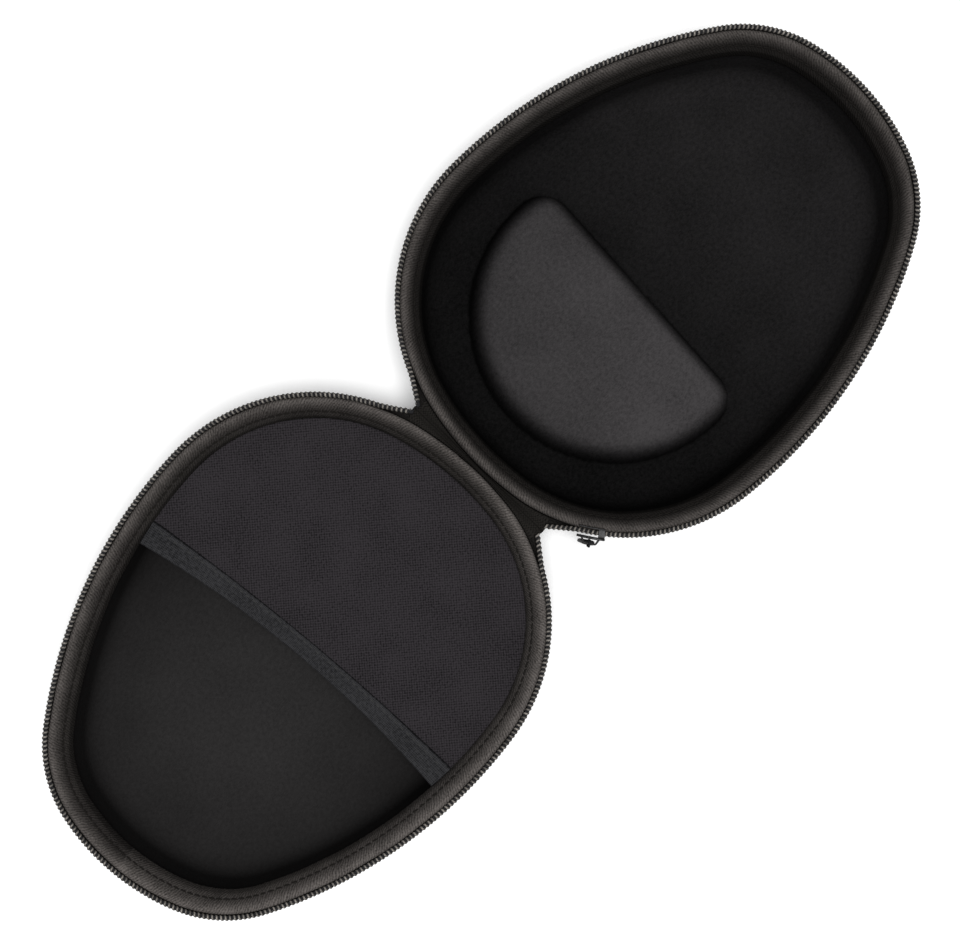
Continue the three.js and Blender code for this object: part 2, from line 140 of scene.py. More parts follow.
def half_shift():
    """How far the turned half is moved: the slider's joint stands at the centre of its arc."""
    radius, _ = SIDE_ARCS[SLIDER_ARC]
    _, u, v, heading, _ = OUTLINE.legs[SLIDER_ARC]
    x, y = turned(u + radius * math.sin(heading), v - radius * math.cos(heading))
    centre = JOINT["zip_slider_run"]["pos_m"]
    return centre[0] / MM - x, centre[1] / MM - y


SHIFT_X, SHIFT_Y = half_shift()


def place(u, v, z, half):
    """Row-frame millimetres of points given in a half's own frame."""
    x, y = turned(np.asarray(u, float), np.asarray(v, float))
    x, y, z = np.broadcast_arrays(x + SHIFT_X, y + SHIFT_Y, np.asarray(z, float))
    return np.stack([-x if half == "lid" else x, y, z], axis=-1)


def rim(s, d, drop, half):
    """Row-frame millimetres of points given along the rim."""
    u, v, nu, nv = OUTLINE.at(s)
    return place(u + nu * d, v + nv * d, PARTING - np.asarray(drop, float), half)


# ------------------------------------------------------------------ meshes


def add_object(name, data):
    obj = bpy.data.objects.new(name, data)
    bpy.context.scene.collection.objects.link(obj)
    return obj


def make_object(name, points, faces, material, uv, shade=None):
    """An object from millimetre points and faces. uv holds a (mm, mm) pair for each face corner,
    and shade is painted light and shade: how light the material is at each point, 0 to 1."""
    mesh = bpy.data.meshes.new(name)
    points = np.asarray(points, float).reshape(-1, 3)
    mesh.from_pydata((points * MM).tolist(), [], faces)
    layer = mesh.uv_layers.new(name="weave")
    layer.data.foreach_set("uv", np.asarray(uv, np.float32).ravel())
    light = np.ones(len(points)) if shade is None else np.asarray(shade, float).ravel()
    mesh.attributes.new("shade", "FLOAT", "POINT").data.foreach_set("value", light.astype(np.float32))
    mesh.materials.append(material)
    mesh.polygons.foreach_set("use_smooth", [True] * len(mesh.polygons))
    return add_object(name, mesh)


def face_out(obj, merge=None):
    """Turns a closed mesh's faces outwards, once points closer than merge, in metres, are one."""
    bm = bmesh.new()
    bm.from_mesh(obj.data)
    if merge:
        bmesh.ops.remove_doubles(bm, verts=bm.verts, dist=merge)
    bmesh.ops.recalc_face_normals(bm, faces=bm.faces)
    bm.to_mesh(obj.data)
    bm.free()
    return obj


def apply_modifier(obj, modifier):
    bpy.context.view_layer.objects.active = obj
    bpy.ops.object.modifier_apply(modifier=modifier.name)


def grid_faces(rows, cols, wrap_rows, wrap_cols):
    """Quads of a rows x cols grid of points, and each face's corners as (row, col) for its uv."""
    r = np.arange(rows if wrap_rows else rows - 1)
    c = np.arange(cols if wrap_cols else cols - 1)
    r, c = [a.ravel() for a in np.meshgrid(r, c, indexing="ij")]
    corner_r = np.stack([r, r + 1, r + 1, r], axis=1)
    corner_c = np.stack([c, c, c + 1, c + 1], axis=1)
    index = (corner_r % rows) * cols + corner_c % cols
    return index, corner_r, corner_c


def tube_object(name, points, material, uv_size, shade=None, ring=False):
    """A grid of points as a closed mesh whose columns run round. A ring's rows run round as well,
    and other tubes have capped ends. The weave map runs along rows and columns in mm, and its
    size across may be one length, or the length run at each column."""
    rows, cols = points.shape[:2]
    index, corner_r, corner_c = grid_faces(rows, cols, ring, True)
    runs = uv_size[1] if np.ndim(uv_size[1]) else np.linspace(0, uv_size[1], cols + 1)
    uv = np.stack([corner_r * uv_size[0] / (rows if ring else rows - 1), runs[corner_c]], axis=-1)
    faces, uv = index.tolist(), uv.reshape(-1, 2)
    if not ring:
        faces += [list(range(cols))[::-1], list(range((rows - 1) * cols, rows * cols))]
        uv = np.concatenate([uv, np.zeros((2 * cols, 2))])
    return face_out(make_object(name, points, faces, material, uv, shade))


def unit(vectors):
    return vectors / np.linalg.norm(vectors, axis=-1, keepdims=True)


def girth(profile):
    return np.linalg.norm(np.roll(profile, -1, axis=0) - profile, axis=1).sum()


def smooth_curve(points, count, closed=False):
    """Catmull-Rom curve through 2-D or 3-D points, sampled evenly by length."""
    p = np.asarray(points, float)
    if closed:
        p = np.concatenate([p[-1:], p, p[:2]])
    else:
        p = np.concatenate([2 * p[:1] - p[1:2], p, 2 * p[-1:] - p[-2:-1]])
    t = np.linspace(0, 1, 24, endpoint=False)[:, None]
    spans = []
    for a, b, c, d in zip(p[:-3], p[1:-2], p[2:-1], p[3:]):
        spans.append(0.5 * (2 * b + (c - a) * t + (2 * a - 5 * b + 4 * c - d) * t ** 2
                            + (3 * b - a - 3 * c + d) * t ** 3))
    fine = np.concatenate(spans + ([] if closed else [p[-2:-1]]))
    if closed:
        fine = np.concatenate([fine, fine[:1]])
    run = np.concatenate([[0], np.cumsum(np.linalg.norm(np.diff(fine, axis=0), axis=1))])
    want = np.linspace(0, run[-1], count, endpoint=not closed)
    return np.stack([np.interp(want, run, fine[:, k]) for k in range(p.shape[1])], axis=1), run[-1]


def outward(section):
    """Unit normals of a closed section's points, pointing out of it."""
    tangent = np.roll(section, -1, axis=0) - np.roll(section, 1, axis=0)
    normal = unit(np.stack([tangent[:, 1], -tangent[:, 0]], axis=1))
    ahead = np.roll(section, -1, axis=0)
    area = np.sum(section[:, 0] * ahead[:, 1] - section[:, 1] * ahead[:, 0])
    return normal if area > 0 else -normal


def sheet_profile(line, thickness, points):
    """A closed profile of a thin sheet: the smooth line through the points and back again."""
    middle, _ = smooth_curve(line, points)
    along = unit(np.gradient(middle, axis=0))
    side = np.stack([along[:, 1], -along[:, 0]], axis=1) * thickness / 2
    return np.concatenate([middle + side, (middle - side)[::-1]])


def rim_sweep(name, half, profile, count, material, span=None, relief=None, shade=None, stray=None):
    """Sweeps a closed (d, drop) profile along the rim, or along span = (from, to).
    relief(s, d, drop) is how far the surface stands out, shade(s, d, drop) is the painted light and
    shade, how light it is, and stray(s, drop) is how far the profile is moved outwards."""
    normal = outward(profile)
    closed = span is None
    start, end = span or (0, OUTLINE.length)
    s = np.linspace(start, end, count, endpoint=not closed)[:, None]
    d, drop = profile[None, :, 0], profile[None, :, 1]
    raised = relief(s, d, drop) if relief else np.zeros((count, len(profile)))
    moved = stray(s, drop) if stray else 0.0
    s, light = np.broadcast_arrays(s, shade(s, d, drop) if shade else np.ones((count, len(profile))))
    grid = rim(s, d - moved + normal[None, :, 0] * raised, drop + normal[None, :, 1] * raised, half)
    return tube_object(name, grid, material, (end - start, girth(profile)), light, closed)


def tube_points(path, radius, sides, across=None):
    """Rings of points round a polyline. radius may be a number or one value for each point."""
    path = np.asarray(path, float)
    tangent = unit(np.gradient(path, axis=0))
    ref = np.array(across if across is not None else (0.0, 0.0, 1.0), float)
    rings = np.zeros((len(path), sides, 3))
    angle = 2 * math.pi * np.arange(sides) / sides
    radius = np.broadcast_to(radius, len(path))
    for i, (p, t) in enumerate(zip(path, tangent)):
        ref = unit(ref - t * (ref @ t))
        other = np.cross(t, ref)
        rings[i] = p + radius[i] * (np.cos(angle)[:, None] * ref + np.sin(angle)[:, None] * other)
    return rings


def stamp(name, shape, centres, axes, material):
    """Copies of one closed shape, (points, faces), each turned to its own axes, as one mesh."""
    points, faces = shape
    count = len(centres)
    placed = np.einsum("pk,nkj->npj", points, axes) + centres[:, None, :]
    step = (np.arange(count) * len(points)).reshape(-1, 1)
    all_faces = []
    for face in faces:
        all_faces += (step + np.array(face)).tolist()
    return make_object(name, placed, all_faces, material, np.zeros((sum(map(len, all_faces)), 2)))


def capsule(length, radius):
    """A thread stitch lying along x: (points, faces)."""
    sides = 8
    stops = ((-0.5, 0.0, -0.5), (-0.46, 0.6, -0.3), (-0.3, 1.0, 0.1), (0.0, 1.08, 0.25),
             (0.3, 1.0, 0.1), (0.46, 0.6, -0.3), (0.5, 0.0, -0.5))
    points = [(stops[0][0] * length, 0, stops[0][2] * radius)]
    for at, size, lift in stops[1:-1]:
        for k in range(sides):
            angle = 2 * math.pi * k / sides
            points.append((at * length, size * radius * math.cos(angle),
                           size * radius * math.sin(angle) * 0.8 + lift * radius))
    points.append((stops[-1][0] * length, 0, stops[-1][2] * radius))
    faces = [(0, 1 + (k + 1) % sides, 1 + k) for k in range(sides)]
    rings = len(stops) - 2
    for r in range(rings - 1):
        a = 1 + r * sides
        b = a + sides
        faces += [(a + k, a + (k + 1) % sides, b + (k + 1) % sides, b + k) for k in range(sides)]
    last = 1 + (rings - 1) * sides
    end = len(points) - 1
    faces += [(last + k, last + (k + 1) % sides, end) for k in range(sides)]
    return np.array(points, float), faces


def noise(x, y, seed, size):
    """Smooth repeatable noise in -1..1 made of a few sine waves about size long."""
    rng = np.random.default_rng(seed)
    total = 0
    for _ in range(6):
        angle, phase = rng.uniform(0, 2 * math.pi, 2)
        wave = 2 * math.pi / (size * rng.uniform(0.7, 1.5))
        total = total + np.sin(wave * (x * math.cos(angle) + y * math.sin(angle)) + phase)
    return total / 6


# ------------------------------------------------------------------ materials

FLOOR_LIGHT = 1.28              # light that falls on the floor, as a share of full white


def tone(red, green, blue):
    """The linear colour that shows as these 0-255 values under the studio light."""
    channels = []
    for value in (red, green, blue):
        share = value / 255
        linear = share / 12.92 if share <= 0.04045 else ((share + 0.055) / 1.055) ** 2.4
        channels.append(linear / FLOOR_LIGHT)
    return (*channels, 1.0)


class Look:
    """A procedural material: a Principled shader and the nodes that feed it."""

    def __init__(self, name, rough, specular, metallic=0.0):
        self.material = bpy.data.materials.new(name)
        self.material.use_nodes = True
        self.nodes = self.material.node_tree.nodes
        self.links = self.material.node_tree.links
        self.shader = self.nodes["Principled BSDF"]
        self.rough = rough
        self.feed(self.shader.inputs["Specular IOR Level"], specular)
        self.feed(self.shader.inputs["Metallic"], metallic)
        self.uv = self.node("ShaderNodeUVMap", uv_map="weave").outputs[0]
        # Each point's painted light and shade, read from its shade attribute.
        self.shade = self.node("ShaderNodeAttribute", attribute_name="shade").outputs["Fac"]

    def feed(self, socket, value):
        if isinstance(value, bpy.types.NodeSocket):
            self.links.new(value, socket)
        else:
            socket.default_value = value

    def node(self, kind, inputs=None, **settings):
        node = self.nodes.new(kind)
        for key, value in settings.items():
            setattr(node, key, value)
        for key, value in (inputs or {}).items():
            self.feed(node.inputs[key], value)
        return node

    def math(self, operation, a, b=0.0):
        return self.node("ShaderNodeMath", {0: a, 1: b}, operation=operation).outputs[0]

    def times(self, a, b):
        return self.math("MULTIPLY", a, b)

    def add(self, total, *values):
        for value in values:
            total = self.math("ADD", total, value)
        return total

    def ramp(self, value, low, high, to_low=0.0, to_high=1.0):
        inputs = {"Value": value, "From Min": low, "From Max": high, "To Min": to_low, "To Max": to_high}
        return self.node("ShaderNodeMapRange", inputs).outputs[0]

    def noise(self, size, detail, stretch=(1.0, 1.0), vector=None):
        """Noise 0..1 with features about this many mm across."""
        scaled = self.node("ShaderNodeMapping", {
            "Vector": vector or self.uv,
            "Scale": (1 / (size * stretch[0]), 1 / (size * stretch[1]), 1 / size),
        }).outputs[0]
        inputs = {"Vector": scaled, "Scale": 1.0, "Detail": detail}
        return self.node("ShaderNodeTexNoise", inputs).outputs[0]

    def weave(self, pitch, turn):
        """Height 0..1 of a plain weave whose threads lie this far apart, in mm."""
        turned_uv = self.node("ShaderNodeMapping", {"Vector": self.uv, "Rotation": (0, 0, turn)})
        split = self.node("ShaderNodeSeparateXYZ", {0: turned_uv.outputs[0]})
        across = self.math("SINE", self.times(split.outputs[0], math.pi / pitch[0]))
        along = self.math("SINE", self.times(split.outputs[1], math.pi / pitch[1]))
        crossing = self.times(across, along)
        warp = self.add(self.math("ABSOLUTE", across), crossing)
        weft = self.math("SUBTRACT", self.math("ABSOLUTE", along), crossing)
        return self.times(self.math("MAXIMUM", warp, weft), 0.5)

    def ribs(self, pitch, lean, wander):
        """Height 0..1 of ribs across the tape, one each pitch mm along it, up to wander mm astray."""
        split = self.node("ShaderNodeSeparateXYZ", {0: self.uv})
        astray = self.uneven(self.noise(3.0, 2.0), wander)
        sheared = self.add(split.outputs[0], self.times(split.outputs[1], lean), astray)
        wave = self.math("SINE", self.times(sheared, 2 * math.pi / pitch))
        return self.ramp(wave, -1.0, 1.0)

    def uneven(self, value, swing):
        """A 0..1 noise as a change of up to this much either way."""
        return self.ramp(value, 0.3, 0.7, -swing, swing)

    def mix(self, factor, low, high):
        return self.node("ShaderNodeMix", {0: factor, 6: low, 7: high}, data_type="RGBA").outputs[2]

    def between(self, level, dark, light):
        """The colour this far from dark (0) to light (1)."""
        return self.mix(self.node("ShaderNodeClamp", {0: level}).outputs[0], dark, light)

    def finish(self, colour, height, depth, rough_swing=0.06):
        """Feeds the shader: a colour, and a height of this many mm for bump and roughness."""
        self.feed(self.shader.inputs["Base Color"], colour)
        self.feed(self.shader.inputs["Roughness"],
                  self.ramp(height, 0.0, 1.0, self.rough + rough_swing, self.rough - rough_swing))
        bump = self.node("ShaderNodeBump", {"Strength": 1.0, "Distance": depth * MM, "Height": height})
        self.feed(self.shader.inputs["Normal"], bump.outputs[0])
        return self.material


def woven_look(name, dark, light, pitch, depth, turn=0.0, fleck=0.35, fleck_size=0.5):
    """Plain-woven cloth: threads, flecks in the yarn and slow changes over the cloth."""
    look = Look(name, 0.9, 0.02)
    threads = look.weave(pitch, turn)
    yarn = look.noise(fleck_size, 2.0)
    slow = look.noise(18.0, 2.0)
    level = look.times(look.ramp(threads, 0.1, 0.75, 0.25, 1.0), look.shade)
    level = look.add(level, look.uneven(yarn, fleck), look.uneven(slow, 0.12))
    height = look.add(look.times(threads, 0.8), look.times(yarn, 0.2))
    return look.finish(look.between(level, dark, light), height, depth)


def binding_look():
    """Binding tape: slanted ribs of thick yarn, with painted light on the crest and painted shade inside
    the rim.
    """
    look = Look("binding_tape", 0.92, 0.02)
    ribs = look.ribs(RIB_PITCH, RIB_LEAN, 0.45)
    rows = look.weave((0.62, 0.62), 0.5)
    yarn = look.noise(0.7, 3.0)
    slow = look.noise(9.0, 2.0)
    level = look.add(look.ramp(ribs, 0.0, 1.0, 0.55, 1.0), look.uneven(yarn, 0.35))
    level = look.times(look.add(level, look.uneven(slow, 0.15)), look.shade)
    height = look.add(look.times(ribs, 0.55), look.times(rows, 0.25), look.times(yarn, 0.2))
    return look.finish(look.between(level, tone(17, 16, 15), tone(106, 101, 98)), height, 0.28)


def nap_look(name, dark, light):
    """Napped lining: short fibres laid one way, lighter and darker where the shade attribute paints
    light and shade.
    """
    look = Look(name, 0.96, 0.0)
    fibre = look.noise(0.4, 4.0, (2.2, 1.0))
    tuft = look.noise(1.6, 3.0)
    slow = look.noise(26.0, 2.0)
    uneven = look.add(look.uneven(fibre, 0.2), look.uneven(tuft, 0.16), look.uneven(slow, 0.1))
    level = look.add(look.shade, look.times(uneven, look.add(look.shade, 0.15)))
    height = look.add(look.times(fibre, 0.6), look.times(tuft, 0.4))
    return look.finish(look.between(level, dark, light), height, 0.22)


def grain_look(name, dark, light, size, depth, rough, specular, metallic=0.0):
    """Moulded or painted surface: fine grain, cloudy wear and smudges in the roughness."""
    look = Look(name, rough, specular, metallic)
    metres = look.node("ShaderNodeTexCoord").outputs["Object"]
    place_mm = look.node("ShaderNodeVectorMath", {0: metres, 3: 1 / MM}, operation="SCALE").outputs[0]
    grain = look.noise(size, 3.0, vector=place_mm)
    cloud = look.noise(size * 9, 2.0, vector=place_mm)
    level = look.add(look.ramp(cloud, 0.3, 0.7, 0.2, 0.8), look.uneven(grain, 0.25))
    level = look.times(level, look.shade)
    return look.finish(look.between(level, dark, light), grain, depth, 0.1)


LOOKS = {
    "cover": woven_look("cover_fabric", tone(20, 20, 21), tone(66, 66, 69), (0.62, 0.62), 0.16, 0.79),
    "hinge": woven_look("hinge_fabric", tone(11, 11, 10), tone(38, 36, 34), (0.7, 0.7), 0.18, 0.79),
    "tape": woven_look("zip_tape", tone(10, 10, 10), tone(40, 38, 37), (0.55, 0.9), 0.15),
    "pocket": woven_look("pocket_mesh", tone(18, 17, 18), tone(54, 51, 54), (0.92, 0.92), 0.3,
                         45.8 * DEG, 0.34, 0.8),
    "hem": woven_look("pocket_hem", tone(18, 18, 19), tone(58, 58, 60), (0.6, 0.6), 0.16, 0.0, 0.3, 1.0),
    "elastic": woven_look("elastic_band", tone(10, 10, 10), tone(34, 34, 35), (1.1, 0.7), 0.2),
    "cord": woven_look("pull_cord", tone(14, 14, 15), tone(46, 46, 48), (0.5, 0.5), 0.15, 0.79),
    # Both linings are one nap; each tone pair runs from painted shade to painted light, and the base's
    # reaches deeper painted shade.
    "base_lining": nap_look("base_lining_nap", tone(12, 12, 12), tone(67, 65, 66)),
    "lid_lining": nap_look("lid_lining_nap", tone(25, 24, 24), tone(56, 55, 55)),
    "binding": binding_look(),
    # The coil's light tone is the colour of the painted highlights on its turns.
    "coil": grain_look("zip_coil", tone(22, 21, 20), tone(168, 162, 154), 0.3, 0.04, 0.42, 0.35),
    "thread": woven_look("stitch_thread", tone(16, 15, 14), tone(58, 55, 52), (0.35, 0.35), 0.1, 0.79),
    "hem_thread": woven_look("hem_thread", tone(50, 50, 50), tone(84, 84, 83), (0.35, 0.35), 0.1, 0.79),
    "metal": grain_look("slider_metal", tone(18, 18, 18), tone(46, 46, 47), 0.25, 0.02, 0.42, 0.3, 0.6),
    "grip": grain_look("pull_grip", tone(20, 20, 21), tone(44, 44, 46), 0.3, 0.05, 0.6, 0.3),
    "foam": grain_look("foam_black", tone(10, 10, 10), tone(30, 30, 30), 0.6, 0.2, 0.95, 0.1),
}

# ------------------------------------------------------------------ moulded layers

BOTTOM_CENTRE_D = WALL_D + (WALL_Z - BOTTOM_RADIUS) * math.tan(DRAFT) + BOTTOM_RADIUS / math.cos(DRAFT)
FLOOR_CENTRE_U = 72.0             # where the floor's rows start, inside the hump
CUP_STATIONS = 480


def hump_inset(u, v):
    """Distance inside the hump's outline: a D, round to the hinge and straight to the tip."""
    to_round = HUMP_ROUND - np.hypot(u - HUMP_CENTRE, v)
    to_edge = HUMP_CENTRE + HUMP_EDGE - u
    beyond_u = np.maximum(u - (HUMP_CENTRE + HUMP_EDGE - HUMP_CORNER), 0)
    beyond_v = np.maximum(np.abs(v) - (HUMP_ROUND - HUMP_CORNER), 0)
    to_corner = HUMP_CORNER - np.hypot(beyond_u, beyond_v)
    box = np.minimum(np.minimum(to_edge, HUMP_ROUND - np.abs(v)), to_corner)
    return np.where(u < HUMP_CENTRE, np.minimum(to_round, to_edge), box)


def hump_rise(u, v):
    """How far the base's lining stands up over the hump."""
    inset = hump_inset(u, v)
    share = np.clip(inset / HUMP_ROLL, 0, 1)
    roll = 1 - (1 - share) ** 4
    foot = 0.9 * np.exp(-(inset / 2.2) ** 2)
    crown = HUMP_CROWN * np.clip(inset / 40, 0, 1)
    return roll * HUMP_HEIGHT + crown + np.where(inset < 0, foot, foot * (1 - share))


def cup_rows(depth, rim_drop, floor_rows):
    """(share of the floor, d, z, length up the wall) from the floor's middle to the rim."""
    radius = BOTTOM_RADIUS - depth
    rows = [(share, BOTTOM_CENTRE_D, depth, 0.0) for share in np.linspace(0, 1, floor_rows)]
    steps = 12
    for i in range(1, steps + 1):
        angle = (90 * DEG - DRAFT) * i / steps
        rows.append((1.0, BOTTOM_CENTRE_D - radius * math.sin(angle),
                     BOTTOM_RADIUS - radius * math.cos(angle), radius * angle))
    _, d, z, reach = rows[-1]
    top = PARTING - rim_drop
    for i in range(1, steps + 1):
        height = z + (top - z) * i / steps
        out = d - (height - z) * math.tan(DRAFT)
        rows.append((1.0, out, height, reach + (height - z) / math.cos(DRAFT)))
    return np.array(rows)


def cup_points(half, depth, rim_drop, floor_rows, rise):
    """Points, weave map and height above the floor of the moulded surface this deep inside."""
    s = np.linspace(0, OUTLINE.length, CUP_STATIONS, endpoint=False)
    u, v, nu, nv = [a[:, None] for a in OUTLINE.at(s)]
    share, d, z, reach = cup_rows(depth, rim_drop, floor_rows).T[:, None, :]
    ring_u, ring_v = u + nu * BOTTOM_CENTRE_D, v + nv * BOTTOM_CENTRE_D
    on_wall = reach > 0
    at_u = np.where(on_wall, u + nu * d, FLOOR_CENTRE_U + (ring_u - FLOOR_CENTRE_U) * share)
    at_v = np.where(on_wall, v + nv * d, ring_v * share)
    map_u = np.where(on_wall, ring_u - nu * reach, at_u)
    map_v = np.where(on_wall, ring_v - nv * reach, at_v)
    lift = rise(at_u, at_v) if rise else np.zeros_like(at_u)
    z = np.broadcast_to(z, at_u.shape) + lift
    return place(at_u, at_v, z, half), np.stack([map_u, map_v], -1), at_u, at_v, z


def cup_sheet(name, half, depth, thickness, rim_drop, floor_rows, material, rise=None, shade=None):
    """A moulded skin: the surface this deep inside, and its back, closed round the rim."""
    front, uv, at_u, at_v, z = cup_points(half, depth, rim_drop, floor_rows, rise)
    back = cup_points(half, depth + thickness, rim_drop, floor_rows, rise)[0]
    points = np.concatenate([front, back[:, ::-1]], axis=1)
    uv = np.concatenate([uv, uv[:, ::-1]], axis=1)
    light = shade(at_u, at_v, z) if shade else np.ones(z.shape)
    light = np.concatenate([light, light[:, ::-1]], axis=1)
    rows, cols = points.shape[:2]
    index, _, _ = grid_faces(rows, cols, True, False)
    corner_uv = uv.reshape(-1, 2)[index].reshape(-1, 2)
    return face_out(make_object(name, points, index.tolist(), material, corner_uv, light), 1e-6)


def ease(x):
    x = np.clip(x, 0, 1)
    return x * x * (3 - 2 * x)


def base_painted_light(u, v, z):
    """Painted light and shade on the base's nap: painted light on the hump's top, which faces up,
    brighter towards one side, fading over its round side and towards its round end. Round the hump lies
    painted shade, darkest at the hinge and a little lighter towards the tip."""
    to_edge = HUMP_CENTRE + HUMP_EDGE - u
    to_round = HUMP_ROUND - np.hypot(np.minimum(u - HUMP_CENTRE, 0), v)
    painted_light_on_top = np.minimum(ease((to_round + 1) / 11), ease((to_edge + 1) / 7))
    painted_light_on_top = painted_light_on_top * ease((hump_inset(u, v) + 1) / 2)
    # Painted shade round the hump: deepest at the hinge, a little lighter towards the tip.
    around = 0.05 + 0.17 * ease((u - 50) / 110)
    return around + 0.7 * painted_light_on_top * (1 + 0.2 * v / HUMP_ROUND - 0.16 * ease((to_edge - 30) / 30))


def lid_painted_light(u, v, z):
    """Painted light and shade on the lid's nap: lightest in the middle of the floor, with painted shade
    up the wall.
    """
    out = np.hypot((u - 125) / 72, v / 66)
    return np.clip(0.56 - 0.4 * out ** 2, 0.1, 1) * (1 - 0.4 * ease((z - LINING_DEPTH) / 12))


def lining_waves(seed):
    """The lining isn't glued perfectly flat: soft waves of a tenth of a millimetre."""
    return lambda u, v: 0.12 * noise(u, v, seed, 34) + 0.05 * noise(u, v, seed + 1, 11)


def base_rise(u, v):
    return hump_rise(u, v) + lining_waves(11)(u, v)


def moulded_layers(half):
    cover = cup_sheet(f"{half}_cover_skin", half, 0.0, COVER_THICK, COVER_DROP, 26, LOOKS["cover"])
    own(cover, half, "cover_fabric", f"{half}_cover")
    rise, shade, floor_rows = (base_rise, base_painted_light, 92)
    if half == "lid":
        rise, shade, floor_rows = (lining_waves(21), lid_painted_light, 40)
    lining = cup_sheet(f"{half}_lining_skin", half, LINING_DEPTH, -LINING_THICK, LINING_DROP, floor_rows,
                       LOOKS[f"{half}_lining"], rise, shade)
    own(lining, half, "lining_nap", f"{half}_lining")


def own(piece, body, slot, *nodes):
    """Ties a piece to its body and hides the CAD nodes that it stands for. The slot, its finish, is not
    used.
    """
    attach(piece, body)
    if nodes:
        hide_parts(*nodes)


# ------------------------------------------------------------------ rim

BINDING = [(2.1, 6.2), (1.95, 4.6), (1.9, 3.2), (2.3, 2.15), (3.2, 1.75), (4.6, 2.15), (6.2, 3.4),
           (7.7, 5.2), (8.6, 7.0), (9.25, 9.0), (9.55, 10.9), (9.2, 11.1), (8.8, 10.6), (8.3, 8.0),
           (6.8, 5.6), (5.0, 4.3), (3.5, 3.8), (2.7, 4.6), (2.6, 6.2)]
BINDING_ROW_D, BINDING_ROW_DROP = 7.15, 4.3     # row of stitches through the binding
BINDING_ROW_LEAN = -0.72        # how far these stitches lean outwards, in radians
TAPE_LINE = [(0.75, 2.75), (1.25, 2.6), (1.55, 3.1), (1.65, 4.4), (1.72, 6.0), (2.1, 8.0), (2.45, 10.0)]
TAPE_ROW_D, TAPE_ROW_DROP = 1.66, 7.3           # row of stitches through the zip tape and the wall
COIL_CENTRE = (1.08, 1.5)       # middle of a tooth: d, drop
COIL_LEAN = 20 * DEG            # how far a tooth points up from level
STRAY, STRAY_RUN = 3.0, 13.0    # how far the zip leaves the rim at its ends, and over what length
COIL_REACH = np.array((-math.cos(COIL_LEAN), -math.sin(COIL_LEAN)))
COIL_SIDE = np.array((math.sin(COIL_LEAN), -math.cos(COIL_LEAN)))


def bell(x, middle, width):
    return np.exp(-((x - middle) / width) ** 2)


def rim_frame(s, d, drop, half):
    """Centres and axes (along the rim, inwards, up) for shapes stamped along the rim."""
    step = 0.05
    at = rim(s, d, drop, half)
    along = unit(rim(s + step, d, drop, half) - rim(s - step, d, drop, half))
    inward = unit(rim(s, d + step, drop, half) - at)
    up = np.broadcast_to((0.0, 0.0, 1.0), along.shape)
    return at, along, inward, up


def tilted(along, inward, up, angle):
    """Axes turned about the direction along, so that local z leans outwards by the angle."""
    across = inward * np.cos(angle) + up * np.sin(angle)
    normal = -inward * np.sin(angle) + up * np.cos(angle)
    return np.stack([along, across, normal], axis=1)


def stitch_row(name, half, start, end, d, drop, lean):
    """Stitches along the rim, each turned a little out of line, as lockstitches are."""
    count = int((end - start) / STITCH_PITCH)
    s = start + (np.arange(count) + 0.5) * (end - start) / count
    at, along, inward, up = rim_frame(s, d, drop, half)
    yaw = 0.09
    ahead = along * math.cos(yaw) + inward * math.sin(yaw)
    across = inward * math.cos(yaw) - along * math.sin(yaw)
    axes = tilted(ahead, across, up, lean)
    row = face_out(stamp(name, capsule(2.3, 0.27), at, axes, LOOKS["thread"]))
    own(row, half, "binding_tape")


def binding(half):
    profile, _ = smooth_curve(BINDING, 46, closed=True)
    seed = 31 if half == "base" else 41

    def relief(s, d, drop):
        top = drop < 11.2 - 0.9 * (9.6 - d)
        pucker = 0.5 + 0.5 * np.cos(2 * math.pi * s / STITCH_PITCH)
        groove = -0.22 * bell(d, BINDING_ROW_D, 0.75) * (0.65 + 0.35 * pucker)
        edge = -0.12 * bell(d, 9.3, 0.5) * pucker
        ribs = 0.06 * np.sin(2 * math.pi * (s + RIB_LEAN * d) / RIB_PITCH)
        soft = 0.16 * noise(s / 9, d / 3, seed, 3.1)
        return np.where(top, groove + edge + ribs, 0) + soft

    # Painted light and shade: a painted highlight along the crest, moved at the hinge and brighter on
    # the lid's near side, and painted shade inside the rim, in the stitch groove and low down.
    def shade(s, d, drop):
        from_hinge = np.minimum(s, OUTLINE.length - s)
        at_hinge = bell(from_hinge, 0, 32)
        near = ease(from_hinge / 50) * (s < OUTLINE.half_length)
        if half == "base":
            level = 0.1 + 0.5 * bell(d, 3.0 + 0.9 * at_hinge, 2.2 - 0.8 * at_hinge)
        else:
            level = 0.24 + 0.2 * near + 0.48 * bell(d, 3.0 - 0.5 * at_hinge, 2.1)
        return np.clip(level - 0.05 * bell(d, BINDING_ROW_D, 0.6) - 0.1 * (drop > 7.0), 0.03, 1)

    tape = rim_sweep(f"{half}_binding_tape", half, profile, 1472, LOOKS["binding"], relief=relief,
                     shade=shade)
    own(tape, half, "binding_tape", f"{half}_binding")
    stitch_row(f"{half}_binding_stitches", half, 0, OUTLINE.length, BINDING_ROW_D, BINDING_ROW_DROP,
               BINDING_ROW_LEAN)


ZIP_SPAN = (ZIP_NEAR, OUTLINE.length - ZIP_FAR)


def zip_stray(s, drop):
    """Towards its ends the zip leaves the rim, so that both halves' rows meet over the hinge."""
    to_end = np.minimum(s - ZIP_SPAN[0], ZIP_SPAN[1] - s)
    return STRAY * np.clip(1 - to_end / STRAY_RUN, 0, 1) ** 1.5 * ease((6.0 - drop) / 3.0)


